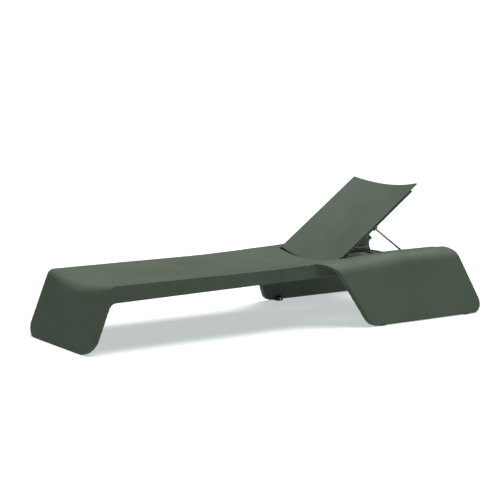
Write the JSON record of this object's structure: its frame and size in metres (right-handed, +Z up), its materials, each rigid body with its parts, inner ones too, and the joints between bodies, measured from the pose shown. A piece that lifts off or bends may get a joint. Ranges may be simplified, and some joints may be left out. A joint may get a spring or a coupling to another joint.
{
  "type": "reclining sun lounger",
  "caption": "Low sun lounger with a dished moulded body, a flat foot leg, two splayed wings at the head and a backrest that tilts on a wire stay.",
  "frame": {"origin": "on the floor under the middle of the whole object", "axes": "+X from the foot to the head, +Y across to the user's left, +Z up"},
  "size_m": [2.0989, 0.9018, 0.6404],
  "materials": {
    "body_plastic": "matte moulded polyethylene",
    "back_plastic": "matte moulded polyethylene",
    "pad_rubber": "matte",
    "rack_nylon": "satin",
    "bush_nylon": "satin",
    "steel_bright": "brushed stainless",
    "stay_steel": "drawn stainless wire",
    "steel_painted": "matte powder coat"
  },
  "bodies": {
    "base": {"body_shell": "body_plastic", "hinge_bracket_left": "steel_painted", "hinge_bracket_right": "steel_painted", "hinge_pin_left": "steel_bright", "hinge_pin_right": "steel_bright", "hinge_washers": "bush_nylon", "bracket_screws": "steel_bright", "rack_left": "rack_nylon", "rack_right": "rack_nylon", "rack_screws": "steel_bright", "foot_pad_front_left": "pad_rubber", "foot_pad_front_right": "pad_rubber", "foot_pad_rear_left": "pad_rubber", "foot_pad_rear_right": "pad_rubber", "pad_screws": "steel_bright"},
    "backrest": {"backrest_panel": "back_plastic", "backrest_strap_lower": "steel_painted", "backrest_strap_upper": "steel_painted", "backrest_rail_left": "steel_painted", "backrest_rail_right": "steel_painted", "hinge_lug_left": "steel_painted", "hinge_lug_right": "steel_painted", "hinge_bush_left": "bush_nylon", "hinge_bush_right": "bush_nylon", "stay_bracket_left": "steel_painted", "stay_bracket_right": "steel_painted", "stay_pin_left": "steel_bright", "stay_pin_right": "steel_bright", "panel_screws": "steel_bright", "stay_clips": "steel_bright"},
    "stay": {"prop_stay": "stay_steel"}
  },
  "joints": [
    {"name": "backrest_recline", "type": "hinge", "parent": "base", "child": "backrest", "pos_m": [0.334, 0, 0.283], "axis": [0, -1, 0], "range_deg": [-35.7, 30]},
    {"name": "stay_swing", "type": "hinge", "parent": "backrest", "child": "stay", "pos_m": [0.54303, 0, 0.4332], "axis": [0, -1, 0], "range_deg": [-60, 71.4]}
  ],
  "couplings": [
    {"joint": "stay_swing", "follows": "backrest_recline", "ratio": -2}
  ]
}
